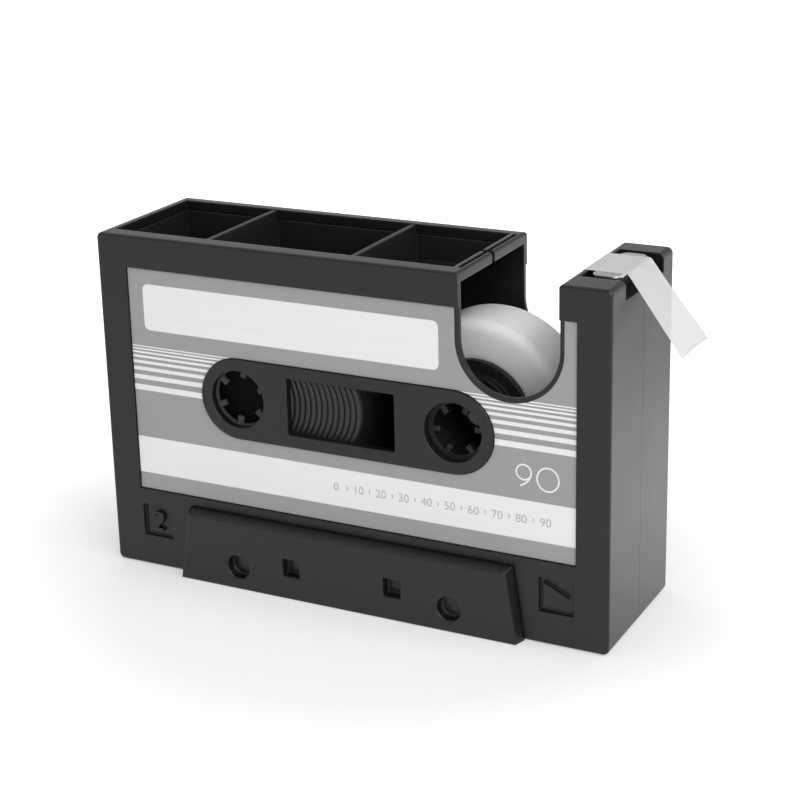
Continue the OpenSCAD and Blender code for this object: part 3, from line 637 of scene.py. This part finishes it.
class TIDY_OT_label(bpy.types.Operator):
    """Print the label: title panel, stripes, band, number and scale"""
    bl_idname = "tidy.label"
    bl_label = "Printed label"

    def execute(self, context):
        look = context.scene.tidy_label
        paint(["front_label"], printed_film("grey_label_film", look.grey))
        white = printed_film("white_label_ink", look.white)
        pale = printed_film("pale_grey_ink", look.pale)
        low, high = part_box("front_label")
        back, front = low.y + look.ink / 3, low.y - look.ink

        bm = bmesh.new()
        add_prism(bm, rounded_outline(TITLE_LOW, TITLE_HIGH, TITLE_ROUND), back, front)
        new_piece("title_panel", mesh_from("title_panel", bm), white, CASE)
        bm = bmesh.new()
        add_prism(bm, [(low.x, BAND_LOW), (high.x, BAND_LOW), (high.x, BAND_HIGH),
                       (low.x, BAND_HIGH)], back, front)
        new_piece("white_band", mesh_from("white_band", bm), white, CASE)

        cover = self.cover()
        grown("print_stripes", stripe_tree(), {
            "Count": look.stripes, "Length": high.x - low.x, "Ink": back - front,
            "Height": look.stripe_height, "Pitch": look.stripe_pitch, "Ratio": look.stripe_ratio,
            "Lowest": LOWEST_STRIPE, "Front": (back + front) / 2, "Cover": cover,
            "Material": white,
        }, white, CASE)
        bpy.data.objects.remove(cover)

        # the number: a 9 and a 0 drawn with one thin pen; an arc is x, z and its two radii
        pen, overlap, bowl = 0.5 * MM, 0.004 * MM, 2.3 * MM
        zero = (65.9 * MM, 51.6 * MM, 3.35 * MM, 3.6 * MM)
        nine = (58.4 * MM, 52.9 * MM, bowl, bowl)
        stem = (nine[0] - 2.2 * bowl, nine[1], 3.2 * bowl, 2.2 * bowl)
        bm = bmesh.new()
        add_stroke(bm, arc_points(*zero, 0, 352.5, 47), pen, back, front, closed=True)
        add_stroke(bm, arc_points(*nine, 0, 350, 35), pen, back, front, closed=True)
        add_stroke(bm, arc_points(*stem, 0, -58, 14), pen, back, front - overlap)
        new_piece("length_number", mesh_from("length_number", bm), white, CASE)

        # a scale of tens on the band, with a tick between each two numbers
        tens, gap, first, digit_z = 10, 7.6 * MM, -3.2 * MM, 38.4 * MM
        digit_tall, tick_wide, tick_tall = 2.6 * MM, 0.3 * MM, 1.5 * MM
        raised = front - look.ink
        for i in range(tens):
            name = f"scale_{i * 10}"
            mesh = text_mesh(name, str(i * 10), digit_tall, front, raised,
                             (first + i * gap, digit_z))
            new_piece(name, mesh, pale, CASE)
        grown("scale_ticks", tick_tree(), {
            "Count": tens - 1, "Pitch": gap, "Size": (tick_wide, look.ink, tick_tall),
            "Start": (first + gap / 2, (front + raised) / 2, digit_z), "Material": pale,
        }, pale, CASE)
        return {"FINISHED"}

    @staticmethod
    def cover():
        """Solid that keeps the stripes off the capsule, the middle and the slot."""
        near, far, middle_top = -30 * MM, -20 * MM, TITLE_LOW[1]
        outline = (arc_points(REEL_X, REEL_Z, CAPSULE_R, CAPSULE_R, -90, 90, 48)
                   + [(REEL_X, middle_top), (-REEL_X, middle_top)]
                   + arc_points(-REEL_X, REEL_Z, CAPSULE_R, CAPSULE_R, 90, 270, 48))
        bm = bmesh.new()
        add_prism(bm, outline, far, near)
        add_prism(bm, arc_points(SLOT_X, SLOT_Z, SLOT_R, SLOT_R, 180, 360, 64), far, near)
        return add_object("stripe_cover", mesh_from("stripe_cover", bm))


def ridge_tree():
    """Rounded ridges, swept along one arc and repeated at a pitch."""
    tree, inlet, outlet = new_geometry("relief_ridges", [
        ("Count", "Int", 13), ("Pitch", "Float", 0.002), ("Radius", "Float", 0.017),
        ("Height", "Float", 0.001), ("Width", "Float", 0.8), ("Half Angle", "Float", 0.7),
        ("First", "Vector", (0, 0, 0)), ("Material", "Material", None)])
    double = add_node(tree, "ShaderNodeMath", {"operation": "MULTIPLY"}, {1: 2.0},
                      {0: (inlet, "Half Angle")})
    under = add_node(tree, "ShaderNodeMath", {"operation": "MULTIPLY"}, {1: -1.0},
                     {0: (inlet, "Half Angle")})
    arc = add_node(tree, "GeometryNodeCurveArc", {"mode": "RADIUS"}, {"Resolution": 40},
                   {"Radius": (inlet, "Radius"), "Start Angle": (under, 0),
                    "Sweep Angle": (double, 0)})
    ring = add_node(tree, "GeometryNodeCurvePrimitiveCircle", {"mode": "RADIUS"},
                    {"Resolution": 16, "Radius": 1.0})
    whole = add_node(tree, "ShaderNodeMath", {"operation": "MULTIPLY"},
                     links={0: (inlet, "Pitch"), 1: (inlet, "Width")})
    wide = add_node(tree, "ShaderNodeMath", {"operation": "MULTIPLY"}, {1: 0.5}, {0: (whole, 0)})
    form = add_node(tree, "ShaderNodeCombineXYZ",
                    links={"X": (wide, 0), "Y": (inlet, "Height")}, values={"Z": 1.0})
    profile = add_node(tree, "GeometryNodeTransform",
                       links={"Geometry": (ring, "Curve"), "Scale": (form, "Vector")})
    ridge = add_node(tree, "GeometryNodeCurveToMesh", values={"Fill Caps": True},
                     links={"Curve": (arc, "Curve"), "Profile Curve": (profile, "Geometry")})
    upright = add_node(tree, "GeometryNodeTransform", values={"Rotation": (math.pi / 2, 0, 0)},
                       links={"Geometry": (ridge, "Mesh")})
    minus = add_node(tree, "ShaderNodeMath", {"operation": "MULTIPLY"}, {1: -1.0},
                     {0: (inlet, "Pitch")})
    step = add_node(tree, "ShaderNodeCombineXYZ", links={"X": (minus, 0)})
    line = add_node(tree, "GeometryNodeMeshLine",
                    links={"Count": (inlet, "Count"), "Start Location": (inlet, "First"),
                           "Offset": (step, "Vector")})
    ridges = add_node(tree, "GeometryNodeInstanceOnPoints",
                      links={"Points": (line, "Mesh"), "Instance": (upright, "Geometry")})
    close_tree(tree, inlet, outlet, (ridges, "Instances"))
    return tree


class TIDY_OT_relief(bpy.types.Operator):
    """Model the ridged relief that shows as wound tape in the window"""
    bl_idname = "tidy.relief"
    bl_label = "Window relief"

    def execute(self, context):
        look = context.scene.tidy_relief
        low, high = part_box("pack_relief")
        plastic = moulded_abs("moulded_relief_abs", look.colour, roughness=0.4, edge=0.1 * MM)
        middle_z = (low.z + high.z) / 2
        half = (high.z - low.z) / 2
        crown = high.x
        half_angle = math.asin(half / look.radius)
        plate_front = low.y + look.height
        # plate whose right edge follows the last ridge
        edge = arc_points(crown - look.radius, middle_z, look.radius, look.radius,
                          -math.degrees(half_angle), math.degrees(half_angle), 24)
        bm = bmesh.new()
        add_prism(bm, [(low.x, low.z), *edge, (low.x, high.z)], high.y, plate_front)
        new_piece("relief_plate", mesh_from("relief_plate", bm), plastic, CASE,
                  ["pack_relief"])
        ridges = grown("relief_ridges", ridge_tree(), {
            "Count": look.ridges, "Pitch": look.pitch, "Radius": look.radius,
            "Height": look.height, "Width": look.width, "Half Angle": half_angle,
            "First": (crown - look.radius - look.pitch / 2, plate_front, middle_z),
            "Material": plastic}, plastic, CASE)
        smooth(ridges.data)
        return {"FINISHED"}


class TIDY_OT_roll(bpy.types.Operator):
    """Wind the tape roll, whose layers stand a little unevenly at its sides, on its core"""
    bl_idname = "tidy.roll"
    bl_label = "Tape roll"

    def execute(self, context):
        look = context.scene.tidy_tape
        low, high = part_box("tape_roll")
        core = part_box("tape_core")
        middle = (low + high) / 2
        outer = (high.x - low.x) / 2
        inner = (core[1].x - core[0].x) / 2
        draw = random.Random(19)  # fixed, so that every run winds the same roll
        turn = 10  # degrees from one point of a worn edge to the next
        profile = []
        for side, y, wear in ((1, low.y, look.front_wear), (-1, high.y, look.back_wear)):
            flat = outer - wear
            rim = [(inner + (flat - inner) * i / look.layers,
                    y + side * look.ruffle * draw.random()) for i in range(look.layers + 1)]
            rim += [(flat + wear * math.sin(math.radians(a)),
                     y + side * wear * (1 - math.cos(math.radians(a))))
                    for a in range(turn, 90 + turn, turn)]
            profile += rim if side > 0 else rim[::-1]
        bm = bmesh.new()
        steps = 192
        rings = []
        for k in range(steps):
            a = 2 * math.pi * k / steps
            rings.append([bm.verts.new((middle.x + r * math.cos(a), y, middle.z + r * math.sin(a)))
                          for r, y in profile])
        for k in range(steps):
            a, b = rings[k], rings[(k + 1) % steps]
            for i in range(len(profile)):
                j = (i + 1) % len(profile)
                bm.faces.new((a[i], a[j], b[j], b[i]))
        mesh = mesh_from("wound_tape", bm)
        smooth(mesh)
        new_piece("wound_tape", mesh, wound_acetate("wound_matte_acetate", look.wound), SPOOL,
                  ["tape_roll"])
        paint(["tape_core"], moulded_abs("moulded_core_abs", look.core, roughness=0.5,
                                         edge=0.2 * MM))
        return {"FINISHED"}


class TIDY_OT_strip(bpy.types.Operator):
    """Lay the free strip from the roll over the post and the blade, with its torn end"""
    bl_idname = "tidy.strip"
    bl_label = "Tape strip"

    def execute(self, context):
        look = context.scene.tidy_tape
        low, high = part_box("tape_tail")
        roll_low, roll_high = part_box("tape_roll")
        reel = ((roll_low + roll_high) / 2).xz
        roll_r = (roll_high.x - roll_low.x) / 2
        half = look.thickness / 2
        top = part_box("front_shell")[1].z
        # the post's edge is round, the strip clears it and the roll by a hair
        edge_r, edge_gap, roll_gap = 1 * MM, 0.1 * MM, 0.15 * MM
        bend_r, fold_r, bend_steps = edge_r + half, 1.5 * MM, 10
        hang, fall = 27.7 * MM, math.radians(54.3)

        bend = Vector((POST_X + edge_r, top - edge_r))
        reach = bend - Vector((bend_r + edge_gap, 0)) - reel
        start_r = roll_r + roll_gap
        leave = math.atan2(reach.y, reach.x) - math.acos(start_r / reach.length)
        path = [reel + start_r * Vector((math.cos(leave), math.sin(leave)))]
        path += [Vector(point) for point in
                 arc_points(bend.x, bend.y, bend_r, bend_r, 180, 90, bend_steps)]
        fold = Vector((FOLD_X, top + half - fold_r))
        path += [fold + fold_r * Vector((math.sin(fall * i / bend_steps),
                                         math.cos(fall * i / bend_steps)))
                 for i in range(bend_steps + 1)]
        tail_steps = 24
        along = Vector((math.cos(fall), -math.sin(fall)))
        path += [path[-1] + along * hang * (i + 1) / tail_steps for i in range(tail_steps)]
        first_tail = len(path) - tail_steps - 1

        teeth, per_tooth, bite = 14, 4, 0.5 * MM
        columns = teeth * per_tooth
        # the free end twists, so that its rear corner stands up by 1.4 mm, and is dished
        twist_x, twist_z, twist_growth, dish = 1.1 * MM, 0.9 * MM, 1.5, 0.5 * MM
        bm = bmesh.new()
        rows = []
        for i, point in enumerate(path):
            hung = max(0, i - first_tail) / tail_steps
            row = []
            for c in range(columns + 1):
                share = c / columns
                y = low.y + (high.y - low.y) * share
                x, z = point
                x += twist_x * hung ** twist_growth * share
                z += twist_z * hung ** twist_growth * share
                z += dish * hung * (1 - (2 * share - 1) ** 2)
                if i == len(path) - 1:
                    notch = abs((c % per_tooth) - per_tooth / 2) / (per_tooth / 2)
                    x -= along.x * bite * (1 - notch)
                    z -= along.y * bite * (1 - notch)
                row.append(bm.verts.new((x, y, z)))
            rows.append(row)
        for a, b in zip(rows, rows[1:]):
            for c in range(columns):
                bm.faces.new((a[c], a[c + 1], b[c + 1], b[c]))
        strip = add_object("thin_strip", mesh_from("tape_strip", bm))
        thick = strip.modifiers.new("thick", "SOLIDIFY")
        thick.thickness, thick.offset = look.thickness, 0
        solid = finished_mesh(strip)
        smooth(solid)
        solid.name = "tape_strip"
        new_piece("tape_strip", solid,
                  matte_acetate("matte_acetate_tape", look.colour, alpha=0.7),
                  CASE, ["tape_tail"])
        return {"FINISHED"}


# ---------- stage

class TIDY_OT_stage(bpy.types.Operator):
    """Set the white floor, the soft lamps and the camera"""
    bl_idname = "tidy.stage"
    bl_label = "Studio stage"

    def execute(self, context):
        look = context.scene.tidy_stage
        self.floor(look)
        self.world(context, look)
        for name, (size, place) in LAMPS.items():
            self.lamp(name + "_lamp", getattr(look, name), size, place)
        self.camera(context)
        return {"FINISHED"}

    @staticmethod
    def seen(tree):
        """The kind of ray, and 1 for camera, glossy and transmission rays."""
        path = add_node(tree, "ShaderNodeLightPath")
        either = add_node(tree, "ShaderNodeMath", {"operation": "MAXIMUM"},
                          links={0: (path, "Is Camera Ray"), 1: (path, "Is Glossy Ray")})
        return path, add_node(tree, "ShaderNodeMath", {"operation": "MAXIMUM"},
                              links={0: (either, 0), 1: (path, "Is Transmission Ray")})

    def floor(self, look):
        """A white floor that keeps a soft part of the object's shadow."""
        bm = bmesh.new()
        bmesh.ops.create_circle(bm, cap_ends=True, segments=64, radius=4.0)
        mesh = bpy.data.meshes.new("studio_floor")
        bm.to_mesh(mesh)
        bm.free()
        material = bpy.data.materials.new("white_paper_sweep")
        material.use_nodes = True
        tree = material.node_tree
        tree.nodes.clear()
        place = add_node(tree, "ShaderNodeTexCoord")
        path, seen = self.seen(tree)
        paper = add_node(tree, "ShaderNodeBsdfDiffuse", values={"Color": look.floor})
        # between these metres from the middle it glows more, as the lamps reach less
        near, far = 0.085, 0.22
        away = add_node(tree, "ShaderNodeVectorMath", {"operation": "LENGTH"},
                        links={0: (place, "Object")})
        level = add_node(tree, "ShaderNodeMapRange",
                         values={"From Min": near, "From Max": far, "To Min": 1.06,
                                 "To Max": 2.4}, links={"Value": (away, "Value")})
        # in reflections it is plain, but brighter where the right side mirrors it
        toward, reach = (0.46, 0.89), 0.35
        behind = add_node(tree, "ShaderNodeVectorMath", {"operation": "DOT_PRODUCT"},
                          {1: (toward[0] / reach, toward[1] / reach, 0.0)},
                          {0: (place, "Object")})
        patch = add_node(tree, "ShaderNodeValToRGB", links={"Fac": (behind, "Value")})
        stops = patch.color_ramp.elements
        stops[0].position, stops[0].color = 0.05, (0, 0, 0, 1)
        stops[1].position, stops[1].color = 0.9, (0.25, 0.25, 0.25, 1)
        for full in (0.35, 0.5):
            stops.new(full).color = WHITE
        mirrored = add_node(tree, "ShaderNodeMath", {"operation": "MULTIPLY_ADD"},
                            {1: look.sweep, 2: look.mirror}, {0: (patch, "Color")})
        strength = add_node(tree, "ShaderNodeMix", {"data_type": "FLOAT"}, links={
            "Factor": (path, "Is Glossy Ray"), "A": (level, 0), "B": (mirrored, 0)})
        glow = add_node(tree, "ShaderNodeEmission", values={"Color": WHITE},
                        links={"Strength": (strength, "Result")})
        share = add_node(tree, "ShaderNodeMath", {"operation": "MULTIPLY"}, {1: 1 - look.shadow},
                         {0: (seen, 0)})
        mixed = add_node(tree, "ShaderNodeMixShader",
                         links={0: (share, 0), 1: (paper, 0), 2: (glow, 0)})
        add_node(tree, "ShaderNodeOutputMaterial", links={"Surface": (mixed, 0)})
        mesh.materials.append(material)
        add_object("studio_floor", mesh)

    def world(self, context, look):
        """Even light from all round; white to the camera, greyer overhead in reflections."""
        world = bpy.data.worlds.new("white_studio")
        world.use_nodes = True
        tree = world.node_tree
        tree.nodes.clear()
        path, seen = self.seen(tree)
        sky = add_node(tree, "ShaderNodeTexCoord")
        parts = add_node(tree, "ShaderNodeSeparateXYZ", links={"Vector": (sky, "Generated")})
        ceiling = add_node(tree, "ShaderNodeMapRange",
                           values={"From Min": 0.05, "From Max": 0.35, "To Min": 1.0,
                                   "To Max": look.ceiling}, links={"Value": (parts, "Z")})
        level = add_node(tree, "ShaderNodeMix", {"data_type": "FLOAT"}, {"A": 1.0},
                         {"Factor": (path, "Is Glossy Ray"), "B": (ceiling, 0)})
        dim = add_node(tree, "ShaderNodeBackground",
                       values={"Color": WHITE, "Strength": look.fill})
        white = add_node(tree, "ShaderNodeBackground", values={"Color": WHITE},
                         links={"Strength": (level, "Result")})
        mixed = add_node(tree, "ShaderNodeMixShader",
                         links={0: (seen, 0), 1: (dim, 0), 2: (white, 0)})
        add_node(tree, "ShaderNodeOutputWorld", links={"Surface": (mixed, 0)})
        context.scene.world = world

    @staticmethod
    def lamp(name, power, size, place):
        """A square soft lamp that points at the middle of the object."""
        data = bpy.data.lights.new(name, "AREA")
        data.energy, data.size = power, size
        lamp = add_object(name, data)
        lamp.location = place
        aim = LAMP_TARGET - Vector(place)
        lamp.rotation_euler = aim.to_track_quat("-Z", "Y").to_euler()

    @staticmethod
    def camera(context):
        """Camera at the photograph's place, from its azimuth, elevation and roll."""
        azimuth, elevation, roll = (math.radians(a) for a in CAMERA_TURN)
        back = Vector((math.sin(azimuth) * math.cos(elevation),
                       -math.cos(azimuth) * math.cos(elevation), math.sin(elevation)))
        right = (-back).cross(Vector((0, 0, 1))).normalized()
        up = right.cross(-back)
        c, s = math.cos(roll), math.sin(roll)
        right, up = c * right + s * up, c * up - s * right
        data = bpy.data.cameras.new("photo_camera")
        data.sensor_width = 36
        data.lens = 85.56
        data.shift_y = -0.075
        data.clip_start, data.clip_end = 0.01, 20
        camera = add_object("photo_camera", data)
        turn = Matrix((right, up, back)).transposed().to_4x4()
        camera.matrix_world = Matrix.Translation(CAMERA_PLACE) @ turn
        context.scene.camera = camera
        context.scene.view_settings.view_transform = "Standard"


# ---------- add-on

STEPS = ("case", "reels", "steel", "pad", "label", "relief", "roll", "strip", "stage")
GROUPS = {"tidy_case": TidyCase, "tidy_trim": TidyTrim, "tidy_label": TidyLabel,
          "tidy_tape": TidyTape, "tidy_relief": TidyRelief, "tidy_stage": TidyStage}


class TIDY_PT_panel(bpy.types.Panel):
    """Sizes, colours and steps of the desk tidy"""
    bl_idname = "TIDY_PT_panel"
    bl_label = "Desk tidy"
    bl_space_type = "VIEW_3D"
    bl_region_type = "UI"
    bl_category = "Desk tidy"

    def draw(self, context):
        for name, group in GROUPS.items():
            box = self.layout.box()
            box.label(text=group.__doc__)
            for key in group.__annotations__:
                box.prop(getattr(context.scene, name), key)
        for step in STEPS:
            self.layout.operator("tidy." + step)


CLASSES = (*GROUPS.values(), TIDY_OT_case, TIDY_OT_reels, TIDY_OT_steel, TIDY_OT_pad,
           TIDY_OT_label, TIDY_OT_relief, TIDY_OT_roll, TIDY_OT_strip, TIDY_OT_stage,
           TIDY_PT_panel)


def register():
    for cls in CLASSES:
        bpy.utils.register_class(cls)
    for name, group in GROUPS.items():
        setattr(bpy.types.Scene, name, PointerProperty(type=group))


def unregister():
    for name in GROUPS:
        delattr(bpy.types.Scene, name)
    for cls in reversed(CLASSES):
        bpy.utils.unregister_class(cls)


def main():
    register()
    for step in STEPS:
        getattr(bpy.ops.tidy, step)()


if __name__ == "__main__":
    main()
